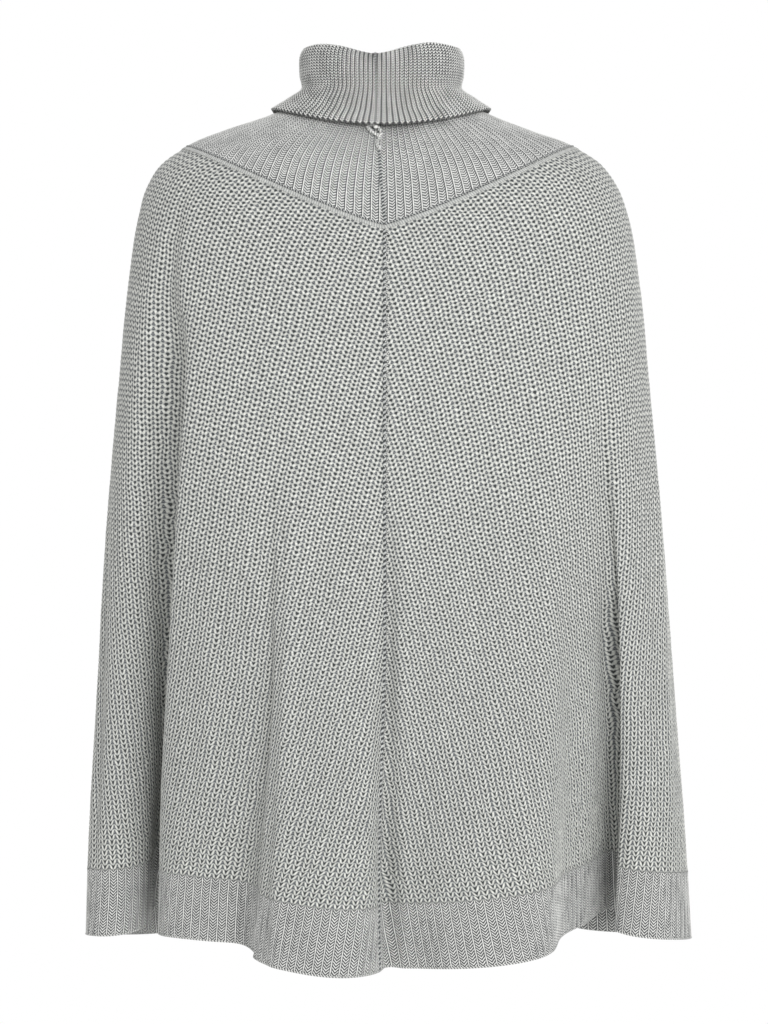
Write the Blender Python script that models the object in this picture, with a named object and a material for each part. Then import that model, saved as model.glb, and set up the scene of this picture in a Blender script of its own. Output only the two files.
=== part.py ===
"""Knitted poncho sweater in its worn, hollow form: a collar, a yoke, two body halves and two hem bands.

The garment's back faces -Y, its top +Z and the wearer's right hand +X. The origin is the middle of the neck
seam. Every point of the cloth has two coordinates: girth, the share of the way round (0 at centre back, 0.25 at
the right side, 0.5 at centre front), and down, the distance along the cloth below the yoke seam.
"""

import math

import bmesh
import bpy
import numpy as np

MM = 0.001
WALL = 3.0 * MM
SEAM_GAP = 0.3 * MM
RIB_HEIGHT = 0.9 * MM

COLLECTION = "knitted_poncho_sweater"

# Where the pieces begin and end, in mm below the yoke seam.
NECK_DOWN = -123.0
YOKE_DOWN = 0.0
HEM_TOP_DOWN = 614.0
HEM_DOWN = 670.0
HALF_GAP = SEAM_GAP / MM / 2

# The cloth's girth at the yoke seam and at the hem, folds included.
YOKE_GIRTH = 970.0 * MM
HEM_GIRTH = 1760.0 * MM

# Ribs round the collar and the yoke, and along each half's hem. A rib rises from a plain edge over RIB_RISE mm.
COLLAR_RIBS = 112
YOKE_RIBS = 124
HEM_RIBS = 116
RIB_RISE = 4.0

# Stretches round the neck seam and along each half, and the levels of a wall's rows between its two edges.
NECK_COLUMNS = 56
BODY_COLUMNS = 58
YOKE_ROWS = (-85.0, -42.0)
BODY_ROWS = (18.0, 42.0, 75.0, 125.0, 200.0, 280.0, 360.0, 440.0, 530.0)
MEASURE_POINTS = 1600

SEAM_V_POWER = 1.2
FOLD_GROWTH = 1.4
COLUMN_BEND = 14.0 * MM

# The cloth without its folds: a squarish oval at each level, in mm. sideways moves its two sides across, z_side
# is its height there and z_middle its height at centre back and centre front.
SECTION_COLUMNS = ("down", "half_width", "depth", "forward", "sideways", "square", "z_side", "z_middle")
SECTIONS = (
    (-123, 65, 57, 8, -2, 0.00, 2, 2),  # neck seam
    (-85, 97, 76, 6, -3, 0.00, -13, -37),
    (-40, 137, 97, 3, -6, 0.01, -28, -81),
    (0, 171, 112, 1, -3.5, 0.015, -42, -120),  # yoke seam, at the shoulder ends
    (20, 192, 117, 0, -2.5, 0.02, -56, -137),
    (44, 207, 120, 0, -1.5, 0.025, -77, -158),
    (71, 216, 122, 0, -0.5, 0.03, -105, -183),
    (121, 225, 124, 0, 0, 0.03, -160, -228),
    (204, 234, 126, 0, 0, 0.03, -250, -305),
    (329, 246, 128, 0, 0, 0.03, -380, -426),
    (459, 255, 131, 0, 1, 0.03, -515, -548),
    (588, 264, 134, 0, 2, 0.03, -648, -668),
    (670, 268, 136, 0, 3, 0.03, -733, -748),  # hem
)

# The crests and valleys of the folds, from centre back to the right, round the front and back on the left. Each
# line leaves the plain section at its girth, in percent, and reaches the hem at across and back, in mm. It lies
# drop lower there than the plain hem, and its fold begins at start, in mm below the yoke seam.
FOLD_COLUMNS = ("girth", "across", "back", "drop", "start")
FOLD_LINES = (
    (0.7, 12, 102, 0, 400),  # furrow beside the centre seam
    (3.5, 42, 130, 0, 300),
    (6.8, 85, 144, -1, 200),  # right back panel
    (9.7, 122, 139, -3, 200),
    (11.9, 147, 118, -6, 200),  # its outer edge
    (12.8, 148, 72, -12, 200),
    (13.7, 167, 30, -16, 200),
    (14.6, 188, -8, -22, 200),
    (15.4, 207, -30, -26, 200),  # right valley
    (16.2, 207, 0, -10, 200),
    (17.0, 189, 27, 0, 200),  # folded edge of the right flap
    (18.6, 211, 51, 2, 200),
    (21.5, 250, 42, 0, 100),
    (25.2, 277, 2, 0, 0),  # right side, over the arm
    (27.5, 266, -46, 2, 0),
    (29.5, 236, -76, 2, 150),
    (32.3, 184, -54, -8, 250),  # right front valley
    (35.8, 150, -142, -3, 250),
    (38.5, 108, -154, 0, 250),
    (41.5, 84, -72, -14, 300),  # inner right front valley
    (45.3, 46, -158, 0, 300),
    (48.8, 2, -162, 2, 250),  # centre front crest
    (53.0, -40, -70, -14, 300),  # inner left front valley
    (57.0, -84, -165, 0, 300),
    (60.5, -132, -156, -3, 250),
    (64.5, -158, -44, -8, 250),  # left front valley
    (68.0, -202, -98, 0, 250),
    (71.5, -248, -72, 2, 150),
    (75.0, -269, -2, 0, 0),  # left side, over the arm
    (77.8, -254, 24, 0, 100),
    (80.3, -222, 20, -2, 200),
    (82.0, -202, -10, -10, 200),
    (83.2, -178, -38, -22, 200),  # left valley
    (84.2, -187, 2, -12, 200),
    (85.2, -203, 38, -8, 200),  # folded edge of the left back panel
    (86.8, -180, 62, -10, 200),
    (89.0, -146, 68, -9, 250),
    (91.2, -122, 60, -9, 300),  # step between the left panels
    (92.6, -114, 112, -3, 300),
    (94.5, -84, 140, 1, 300),
    (96.8, -50, 151, 4, 250),  # left centre panel
    (99.2, -17, 150, 3, 350),  # ridge beside the centre seam
)

# The collar's cloth from the neck seam up, over the fold and down outside, in mm: the middle of its wall.
COLLAR_COLUMNS = ("half_width", "depth", "forward", "sideways", "z_side", "z_middle")
COLLAR_SECTIONS = (
    (65, 57, 8, -2, 2, 2),  # neck seam
    (63, 57, 10, -2, 22, 18),
    (63.5, 58, 10, -2, 38, 34),
    (67.5, 61.5, 10, -2, 45, 40),  # fold
    (71.5, 65, 10, -2, 38, 33),
    (71.5, 67, 10, -2, 23, 18),
    (70, 68, 9, -2, 10, 2),
    (82, 74, 7, -2, 1, -15),
    (96.5, 81, 6, -2.5, -8.5, -32),  # outer edge
)
COLLAR_RIBBED_FROM = 2

# The loop of yarn at the top of the yoke's back seam, in mm along and down the yoke.
LOOP_ACROSS = -8.5
LOOP_DOWN = -84.0
LOOP_HALF_WIDTH = 6.0
LOOP_HALF_HEIGHT = 4.5
LOOP_YARN_RADIUS = 1.2 * MM
LOOP_POINTS = 20

# Colours as linear RGB.
BODY_GREY = (0.40, 0.41, 0.39)
RIB_GREY = (0.42, 0.43, 0.42)
YARN_GREY = (0.62, 0.62, 0.59)


def column(table, names, name):
    return np.array([row[names.index(name)] for row in table], float)


def through_points(at, places, values):
    """A smooth curve through the values at their places (cubic Hermite), read at each of at."""
    slopes = np.gradient(values, places)
    right = np.clip(np.searchsorted(places, at), 1, len(places) - 1)
    left = right - 1
    span = places[right] - places[left]
    t = np.clip((at - places[left]) / span, 0.0, 1.0)
    rise = values[left] * (1 - t) ** 2 * (1 + 2 * t) + values[right] * t**2 * (3 - 2 * t)
    return rise + span * t * (1 - t) * (slopes[left] * (1 - t) - slopes[right] * t)


def section(name, down):
    places = column(SECTIONS, SECTION_COLUMNS, "down")
    return through_points(down, places, column(SECTIONS, SECTION_COLUMNS, name))


def oval(girth, half_width, depth, square):
    """A squarish oval, evenly spaced round: its across and back, and across as a share of half_width."""
    flatness = (half_width - depth) / (half_width + depth)
    angle = 2 * math.pi * girth - flatness / 2 * np.sin(4 * math.pi * girth)
    across = (np.sin(angle) + square * np.sin(3 * angle)) / (1 - square)
    back = (np.cos(angle) - square * np.cos(3 * angle)) / (1 - square)
    return half_width * across, depth * back, np.abs(across)


def plain_cloth(girth, down):
    """The cloth without its folds, in mm. Its levels run in a V, lowest at centre back and centre front."""
    half_width, depth, square = (section(name, down) for name in ("half_width", "depth", "square"))
    across, back, share = oval(girth, half_width, depth, square)
    across = across + section("sideways", down) * share**2
    z_middle = section("z_middle", down)
    z = z_middle + (section("z_side", down) - z_middle) * share**SEAM_V_POWER
    return across, section("forward", down) - back, z


def fold_curves(samples=16):
    """The fold lines' columns as closed, smooth curves (cubic B-splines), sampled between the lines."""
    t = np.arange(samples) / samples
    weights = np.array([(1 - t) ** 3, 3 * t**3 - 6 * t**2 + 4, -3 * t**3 + 3 * t**2 + 3 * t + 1, t**3]) / 6
    curves = {}
    for name in FOLD_COLUMNS:
        values = column(FOLD_LINES, FOLD_COLUMNS, name)
        turn = 100.0 if name == "girth" else 0.0
        around = np.concatenate([values[-2:] - turn, values, values[:3] + turn])
        spans = np.stack([around[k : len(around) - 3 + k] for k in range(4)])
        curves[name] = np.einsum("ks,kn->ns", weights, spans).ravel()
    return curves


FOLD_CURVES = fold_curves()


def fold_line(name, girth):
    return np.interp(100.0 * (girth % 1.0), FOLD_CURVES["girth"], FOLD_CURVES[name])


def cloth(girth, down):
    """The outer face of the cloth with its folds, in metres. A fold grows from its start to the hem."""
    girth, down = np.broadcast_arrays(np.asarray(girth, float), np.asarray(down, float))
    x, y, z = plain_cloth(girth, down)
    hem_x, hem_y, _ = plain_cloth(girth, np.full_like(down, HEM_DOWN))
    start = fold_line("start", girth)
    grown = np.clip((down - start) / (HEM_DOWN - start), 0.0, 1.0) ** FOLD_GROWTH
    x = x + grown * (fold_line("across", girth) - hem_x)
    y = y + grown * (-fold_line("back", girth) - hem_y)
    z = z - grown * fold_line("drop", girth)
    return np.stack([x, y, z], axis=-1) * MM


def cloth_normal(girth, down, step=0.0006):
    """The outward direction, square to the cloth along and across its girth."""
    girth = np.asarray(girth, float)
    round_way = cloth(girth + step, down) - cloth(girth - step, down)
    down_way = cloth(girth, down + 1.0) - cloth(girth, down - 1.0)
    normal = np.cross(down_way, round_way)
    return normal / np.linalg.norm(normal, axis=-1, keepdims=True)


def even_columns(down, count, first=0.0, last=1.0, bend=0.0):
    """Girths that cut the cloth at this level into count equal stretches, closer at bends if bend is set."""
    girth = np.linspace(first, last, MEASURE_POINTS)
    points = cloth(girth, down)
    steps = np.diff(points, axis=0)
    lengths = np.linalg.norm(steps, axis=1)
    headings = steps / lengths[:, None]
    turns = np.linalg.norm(np.diff(headings, axis=0, append=headings[-1:]), axis=1)
    along = np.concatenate([[0.0], np.cumsum(lengths + bend * turns)])
    return np.interp(np.linspace(0.0, along[-1], count + 1), along, girth)


def add_row(mesh, girths, points, closed):
    """Vertices for one row, as (girth, vertex) pairs. A closed row ends on its first vertex again."""
    count = len(girths) - 1 if closed else len(girths)
    verts = [mesh.verts.new(point) for point in points[:count]]
    if closed:
        verts.append(verts[0])
    return list(zip(girths, verts))


def bridge(mesh, first, second):
    """Triangles between two rows of (place, vertex) that run the same way, however many vertices each has."""
    i = j = 0
    while i < len(first) - 1 or j < len(second) - 1:
        second_ends = j == len(second) - 1
        if second_ends or (i < len(first) - 1 and first[i + 1][0] <= second[j + 1][0]):
            mesh.faces.new((first[i][1], second[j][1], first[i + 1][1]))
            i += 1
        else:
            mesh.faces.new((first[i][1], second[j][1], second[j + 1][1]))
            j += 1


def edge_column(rows, downs, end):
    return [(down, row[end][1]) for down, row in zip(downs, rows)]


def wall(name, outer, inner, material, closed):
    """A closed wall between two sets of rows. A set lists (down, girths, points) from the top to the bottom."""
    mesh = bmesh.new()
    faces = []
    for rows in (outer, inner):
        faces.append([add_row(mesh, girths, points, closed) for _, girths, points in rows])
    for rows in faces:
        for upper, lower in zip(rows, rows[1:]):
            bridge(mesh, upper, lower)
    bridge(mesh, faces[0][0], faces[1][0])
    bridge(mesh, faces[0][-1], faces[1][-1])
    if not closed:
        downs = [[row[0] for row in rows] for rows in (outer, inner)]
        for end in (0, -1):
            bridge(mesh, edge_column(faces[0], downs[0], end), edge_column(faces[1], downs[1], end))
    bmesh.ops.recalc_face_normals(mesh, faces=mesh.faces)
    data = bpy.data.meshes.new(name)
    mesh.to_mesh(data)
    mesh.free()
    return add_object(name, data, material)


def add_object(name, data, material):
    piece = bpy.data.objects.new(name, data)
    data.materials.append(material)
    bpy.data.collections[COLLECTION].objects.link(piece)
    return piece


def knit(name, colour, roughness):
    material = bpy.data.materials.new(name)
    material.use_nodes = True
    shader = material.node_tree.nodes["Principled BSDF"]
    shader.inputs["Base Color"].default_value = (*colour, 1.0)
    shader.inputs["Roughness"].default_value = roughness
    shader.inputs["Metallic"].default_value = 0.0
    return material


def cloth_row(down, girths, depth=0.0):
    """One row of a wall: its level, its girths and its points, depth below the cloth's outer face."""
    points = cloth(girths, down) - np.reshape(depth, (-1, 1)) * cloth_normal(girths, down)
    return down, girths, points


def rib_girths(down, ribs, first, last):
    return even_columns(down, 2 * ribs, first, last)


def rib_depths(girths):
    """Nought on a rib's crest and a rib's height in the groove beside it. Both ends are crests."""
    return np.where(np.arange(len(girths)) % 2, RIB_HEIGHT, 0.0)


def seam_trimmed(girths, down):
    """The girths with both ends drawn in by half a seam gap."""
    share = (down - YOKE_DOWN) / (HEM_DOWN - YOKE_DOWN)
    inset = SEAM_GAP / 2 / (YOKE_GIRTH + share * (HEM_GIRTH - YOKE_GIRTH))
    return np.clip(girths, girths[0] + inset, girths[-1] - inset)


def make_body(side, columns):
    downs = (YOKE_DOWN + HALF_GAP, *BODY_ROWS, HEM_TOP_DOWN - HALF_GAP)
    outer = [cloth_row(down, seam_trimmed(columns, down)) for down in downs]
    inner = [cloth_row(down, seam_trimmed(columns, down), WALL) for down in downs]
    return wall(f"body_{side}", outer, inner, knit(f"body_{side}_knit", BODY_GREY, 0.9), closed=False)


def make_hem(side, columns):
    first = HEM_TOP_DOWN + HALF_GAP
    ribbed = seam_trimmed(rib_girths(HEM_DOWN, HEM_RIBS, columns[0], columns[-1]), HEM_DOWN)
    plain = seam_trimmed(columns, HEM_DOWN)
    outer = [cloth_row(first, seam_trimmed(columns, first))]
    outer += [cloth_row(down, ribbed, rib_depths(ribbed)) for down in (first + RIB_RISE, HEM_DOWN)]
    inner = [cloth_row(down, plain, WALL) for down in (first, HEM_DOWN)]
    return wall(f"hem_{side}", outer, inner, knit(f"hem_{side}_knit", RIB_GREY, 0.9), closed=False)


def make_yoke(body_columns):
    neck = np.linspace(0.0, 1.0, NECK_COLUMNS + 1)
    first, last = NECK_DOWN + HALF_GAP, YOKE_DOWN - HALF_GAP
    ribbed = np.linspace(0.0, 1.0, 2 * YOKE_RIBS + 1)
    ribbed_rows = (first + RIB_RISE, *YOKE_ROWS, last - RIB_RISE)
    outer = [cloth_row(first, neck)]
    outer += [cloth_row(down, ribbed, rib_depths(ribbed)) for down in ribbed_rows]
    outer += [cloth_row(last, body_columns)]
    inner = [cloth_row(down, neck, WALL) for down in (first, *YOKE_ROWS)]
    inner += [cloth_row(last, body_columns, WALL)]
    return wall("yoke", outer, inner, knit("yoke_knit", RIB_GREY, 0.88), closed=True)


def collar_cloth(girth, place, depth):
    """The collar's face that shows outside its fold, depth above or below the middle of its wall."""
    rows = np.arange(len(COLLAR_SECTIONS), dtype=float)

    def at(where):
        columns = (column(COLLAR_SECTIONS, COLLAR_COLUMNS, name) for name in COLLAR_COLUMNS)
        values = [through_points(where, rows, values) for values in columns]
        half_width, front_to_back, forward, sideways, z_side, z_middle = values
        across, back, share = oval(girth, half_width, front_to_back, 0.0)
        z = z_middle + (z_side - z_middle) * share**2
        return np.stack([across + sideways * share**2, forward - back, z], axis=-1) * MM

    place = np.full_like(girth, place)
    along = at(np.minimum(place + 0.05, rows[-1])) - at(np.maximum(place - 0.05, 0.0))
    radial = at(place) * np.array([1.0, 1.0, 0.0])
    round_way = np.stack([-radial[:, 1], radial[:, 0], 0.0 * radial[:, 0]], axis=-1)
    normal = np.cross(along, round_way)
    normal /= np.linalg.norm(normal, axis=-1, keepdims=True)
    return at(place) + np.reshape(depth, (-1, 1)) * normal


def make_collar():
    neck = np.linspace(0.0, 1.0, NECK_COLUMNS + 1)
    ribbed = np.linspace(0.0, 1.0, 2 * COLLAR_RIBS + 1)
    last = len(COLLAR_SECTIONS) - 1
    z_side = column(COLLAR_SECTIONS, COLLAR_COLUMNS, "z_side")
    lift = HALF_GAP / (z_side[1] - z_side[0])
    outer = [(0, neck, collar_cloth(neck, lift, WALL / 2))]
    for place in range(COLLAR_RIBBED_FROM, last + 1):
        points = collar_cloth(ribbed, place, WALL / 2 - rib_depths(ribbed))
        outer.append((place, ribbed, points))
    inner = [(place, neck, collar_cloth(neck, max(place, lift), -WALL / 2)) for place in range(last + 1)]
    return wall("collar", outer, inner, knit("collar_knit", RIB_GREY, 0.88), closed=True)


def make_loop():
    """A closed loop of yarn that lies on the yoke, just under the collar's edge."""
    turns = np.linspace(0.0, 2 * math.pi, LOOP_POINTS, endpoint=False)
    yoke_girth = np.linalg.norm(np.diff(cloth(np.linspace(0, 1, 400), LOOP_DOWN), axis=0), axis=1).sum() / MM
    girths = (LOOP_ACROSS + LOOP_HALF_WIDTH * np.sin(turns)) / yoke_girth
    downs = LOOP_DOWN + LOOP_HALF_HEIGHT * np.cos(turns)
    middles = cloth(girths, downs) + cloth_normal(girths, downs) * (LOOP_YARN_RADIUS + SEAM_GAP)
    curve = bpy.data.curves.new("back_loop", "CURVE")
    curve.dimensions = "3D"
    curve.bevel_depth = LOOP_YARN_RADIUS
    curve.bevel_resolution = 2
    spline = curve.splines.new("POLY")
    spline.points.add(LOOP_POINTS - 1)
    spline.use_cyclic_u = True
    for point, middle in zip(spline.points, middles):
        point.co = (*middle, 1.0)
    return add_object("back_loop", curve, knit("back_loop_yarn", YARN_GREY, 0.8))


def clear_scene():
    for piece in list(bpy.data.objects):
        bpy.data.objects.remove(piece, do_unlink=True)


def main():
    clear_scene()
    garment = bpy.data.collections.new(COLLECTION)
    bpy.context.scene.collection.children.link(garment)
    right = even_columns(HEM_DOWN, BODY_COLUMNS, 0.0, 0.5, COLUMN_BEND)
    left = even_columns(HEM_DOWN, BODY_COLUMNS, 0.5, 1.0, COLUMN_BEND)
    for side, columns in (("right", right), ("left", left)):
        make_body(side, columns)
        make_hem(side, columns)
    make_yoke(np.concatenate([right, left[1:]]))
    make_collar()
    make_loop()


main()
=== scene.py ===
import functools
import math

import bmesh
import bpy
import mathutils
import numpy as np
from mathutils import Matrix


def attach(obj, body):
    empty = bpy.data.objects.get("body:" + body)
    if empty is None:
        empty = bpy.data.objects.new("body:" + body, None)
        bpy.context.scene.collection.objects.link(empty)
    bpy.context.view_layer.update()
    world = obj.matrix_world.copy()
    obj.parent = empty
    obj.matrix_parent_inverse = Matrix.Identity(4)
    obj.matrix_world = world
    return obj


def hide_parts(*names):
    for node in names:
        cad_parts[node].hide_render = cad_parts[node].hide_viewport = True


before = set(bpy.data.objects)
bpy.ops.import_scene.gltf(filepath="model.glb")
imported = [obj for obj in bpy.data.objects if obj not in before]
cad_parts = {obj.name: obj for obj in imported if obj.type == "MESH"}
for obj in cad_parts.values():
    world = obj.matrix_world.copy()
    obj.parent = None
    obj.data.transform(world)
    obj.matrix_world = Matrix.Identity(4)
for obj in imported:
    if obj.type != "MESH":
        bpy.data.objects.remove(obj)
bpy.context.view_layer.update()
mm = 0.001


def addObject(name, data):
    # a new object at the origin
    made = bpy.data.objects.new(name, data)
    bpy.context.scene.collection.objects.link(made)
    return made


view = dict(distance=2.8, height=-0.3626, lens=111.86)  # m, m and mm
camera = addObject("camera", bpy.data.cameras.new("camera"))
camera.data.lens = view["lens"]
camera.location = (0.0, -view["distance"], view["height"])
camera.rotation_euler = (math.radians(90.0), 0.0, 0.0)
bpy.context.scene.camera = camera
bpy.context.scene.view_settings.view_transform = "Standard"
print("camera ready")


def linear(hexColour):
    # sRGB to linear: c/12.92 below 0.04045, else ((c + 0.055)/1.055)^2.4
    values = [int(hexColour[i : i + 2], 16) / 255 for i in (1, 3, 5)]
    return (*(c / 12.92 if c < 0.04045 else ((c + 0.055) / 1.055) ** 2.4 for c in values), 1.0)


def addNode(tree, kind, *inputs, stops=(), **settings):
    # inputs fill the node's sockets in order, each a number, a colour, a socket or a node; None leaves
    # one alone. stops fill a ramp from its low end, each a place and a hex colour or a plain height.
    node = tree.nodes.new("ShaderNode" + kind)
    for name, value in settings.items():
        setattr(node, name, value)
    for number, (place, value) in enumerate(stops):
        element = node.color_ramp.elements[number] if number < 2 else node.color_ramp.elements.new(place)
        element.position = place
        element.color = linear(value) if isinstance(value, str) else (value, value, value, 1.0)
    for socket, value in zip(node.inputs, inputs):
        if isinstance(value, bpy.types.Node):
            value = value.outputs[0]
        if isinstance(value, bpy.types.NodeSocket):
            tree.links.new(value, socket)
        elif value is not None:
            socket.default_value = value
    return node


# Colours from the gap between two strands to a strand's top: painted shade, the yarn's grey, painted
# highlight.
yarnColours = dict(
    gap="#434645",
    paintedShade="#83868A",
    strand="#B6B8B4",
    paintedHighlight="#E0E0DA",
    fleckScale=3.0,  # mm, the longest flecks in the spun yarn, which has them down to a quarter of that
    fleckRange=(0.3, 0.7),
    fleckChange=0.24,
    roughness=0.86,
    sheen=0.25,
    specular=0.25,
)
# the lowest two heights carry painted shade, the third the yarn's own grey, the top a painted highlight
toneHeights = dict(gap=0.0, paintedShade=0.28, strand=0.62, paintedHighlight=1.0)  # the height at which yarn has each colour
reliefDepth = dict(rib=0.3 * mm, yarn=0.2 * mm)
softly = dict(interpolation_type="SMOOTHSTEP")


def stitchPlace(add, wander):
    # u and v of the piece's map, each moved by a slow noise so that no two stitches are alike
    place = add("SeparateXYZ", add("UVMap", uv_map="knit"))
    spot = add("TexCoord").outputs["Object"]
    drift = add("TexNoise", spot, None, wander["scale"], 1.0, noise_dimensions="3D")
    shift = add("SeparateXYZ", drift.outputs["Color"])
    moved = []
    for axis, reach in (("X", wander["across"]), ("Y", wander["along"])):
        centred = add("Math", shift.outputs[axis], -0.5, operation="ADD")
        moved.append(add("Math", centred, 2 * reach, place.outputs[axis], operation="MULTIPLY_ADD"))
    return moved


def knitFinish(material, add, height, colours, depth):
    # the strands' height gives their relief and their colour: painted shade in the gaps, painted highlight
    # on tops
    spot = add("TexCoord").outputs["Object"]
    ramp = add("ValToRGB", height, stops=[(place, colours[tone]) for tone, place in toneHeights.items()])
    flecks = add("TexNoise", spot, None, 1000.0 / colours["fleckScale"], 3.0, 0.7)
    change = colours["fleckChange"]
    tone = add("MapRange", flecks, *colours["fleckRange"], 1.0 - change, 1.0 + change)
    colour = add("VectorMath", ramp, tone, operation="MULTIPLY")
    relief = add("Bump", 1.0, depth, None, height)
    shader = add("BsdfPrincipled", colour)
    shader.inputs["Roughness"].default_value = colours["roughness"]
    shader.inputs["Sheen Weight"].default_value = colours["sheen"]
    shader.inputs["Specular IOR Level"].default_value = colours["specular"]
    material.node_tree.links.new(relief.outputs[0], shader.inputs["Normal"])
    add("OutputMaterial", shader)
    return material


def newMaterial(name):
    # an empty node material, and addNode bound to its tree
    material = bpy.data.materials.new(name)
    material.use_nodes = True
    material.node_tree.nodes.clear()
    return material, functools.partial(addNode, material.node_tree)


halfCardigan = dict(  # three stitches: under the yoke, lower down with longer Vs, and flat ones at the hem
    change=(55.0, 115.0),  # the courses over which the first turns into the second
    nearHem=(124.0, 141.0),  # and those over which the second turns into the third
    rise=(0.5, 1.15, 1.15),  # courses that a strand climbs from the middle of its wale to the gutter
    belly=(0.34, 0.3, 0.26),  # what a strand's belly adds to half its width at its ends, in courses
    gutterEnd=(0.58, 0.38, 0.6),  # height of a strand's end in the gutter, where its belly is 1
    slit=(0.6, 0.25, 0.0),  # how much of the height is lost in the slit above a V's point
    middleEnd=0.75,
    strandWidth=0.22,
    bellyAt=0.25,  # where the belly lies between the middle of the wale and the gutter, which is at 0.5
    bellyFall=(0.02, 0.22),
    slitAcross=(0.12, 0.42),  # the slit's half length, in wales, from where it starts to fade to its end
    slitAlong=(0.02, 0.15),  # its half width, in courses
    tuckWidth=0.17,
    tuckHeight=0.36,
    gutterFrom=(0.3, 0.45),
    depth=0.35 * mm,
    wander=dict(scale=160.0, across=0.05, along=0.07),
)


def halfCardiganKnit(name, stitch):
    # Half-cardigan in a plied wool blend: plump V-shaped strands climb from the middle of each wale to a
    # deep gutter, where the tuck strand shows. The slits in the V and the gaps in the gutter lie low, and
    # the ramp paints them as staggered holes in dark painted shade.
    material, add = newMaterial(name)
    u, v = stitchPlace(add, stitch["wander"])
    changed = {}
    for key in ("rise", "belly", "gutterEnd", "slit"):
        lower = add("MapRange", v, *stitch["change"], *stitch[key][:2])
        changed[key] = add("MapRange", v, *stitch["nearHem"], lower, stitch[key][2])
    side = add("Math", u, 0.5, operation="PINGPONG")  # 0 in the middle of a wale, 0.5 in the gutter
    climb = add("Math", add("Math", side, 2.0, operation="MULTIPLY"), changed["rise"], operation="MULTIPLY")
    gap = add("Math", add("Math", v, climb), 0.5, operation="PINGPONG")
    offBelly = add("Math", add("Math", side, stitch["bellyAt"], operation="SUBTRACT"), operation="ABSOLUTE")
    belly = add("MapRange", offBelly, *stitch["bellyFall"], 1.0, 0.0, **softly)
    width = add("Math", belly, changed["belly"], stitch["strandWidth"], operation="MULTIPLY_ADD")
    share = add("Math", gap, width, operation="DIVIDE")
    square = add("Math", share, share, operation="MULTIPLY")
    inside = add("Math", 1.0, square, operation="SUBTRACT", use_clamp=True)
    curve = add("Math", inside, 0.5, operation="POWER")
    end = add("MapRange", side, 0.0, 0.5, stitch["middleEnd"], changed["gutterEnd"])
    swell = add("Math", add("Math", 1.0, end, operation="SUBTRACT"), belly, end, operation="MULTIPLY_ADD")
    halfWay = add("Math", add("Math", v, 0.5), 0.5, operation="PINGPONG")
    slit = add("MapRange", side, *stitch["slitAcross"], changed["slit"], 0.0, **softly)
    narrow = add("MapRange", halfWay, *stitch["slitAlong"], 1.0, 0.0, **softly)
    whole = add("Math", 1.0, add("Math", slit, narrow, operation="MULTIPLY"), operation="SUBTRACT")
    strand = add("Math", add("Math", curve, swell, operation="MULTIPLY"), whole, operation="MULTIPLY")
    other = add("Math", add("Math", v, add("Math", climb, 0.5)), 0.5, operation="PINGPONG")
    tuck = add("MapRange", other, 0.0, stitch["tuckWidth"], stitch["tuckHeight"], 0.0, **softly)
    inGutter = add("MapRange", side, *stitch["gutterFrom"], 0.0, 1.0, **softly)
    height = add("Math", strand, add("Math", tuck, inGutter, operation="MULTIPLY"), operation="MAXIMUM")
    return knitFinish(material, add, height, yarnColours, stitch["depth"])


def ribKnit(name, stitch, colours):
    # Fine rib in the same yarn: columns of small V stitches, with a groove or a smooth line between them.
    # The V stitches are 2 mm high on the real cloth and are drawn a third coarser, to show at all.
    material, add = newMaterial(name)
    u, v = stitchPlace(add, stitch["wander"])
    side = add("Math", u, 0.5, operation="PINGPONG")
    climb = add("Math", side, 2.0 * stitch["rise"], v, operation="MULTIPLY_ADD")
    arm = add("Math", climb, 0.5, operation="PINGPONG")
    strand = add("MapRange", arm, *stitch["strand"], 1.0, stitch["between"], **softly)
    across = add("Math", u, operation="FRACT")
    column = add("ValToRGB", across, stops=stitch["column"])
    line = add("ValToRGB", across, stops=stitch["line"])
    height = add("Math", add("Math", column, strand, operation="MULTIPLY"), line, operation="MAXIMUM")
    return knitFinish(material, add, height, colours, reliefDepth["rib"])


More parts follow.
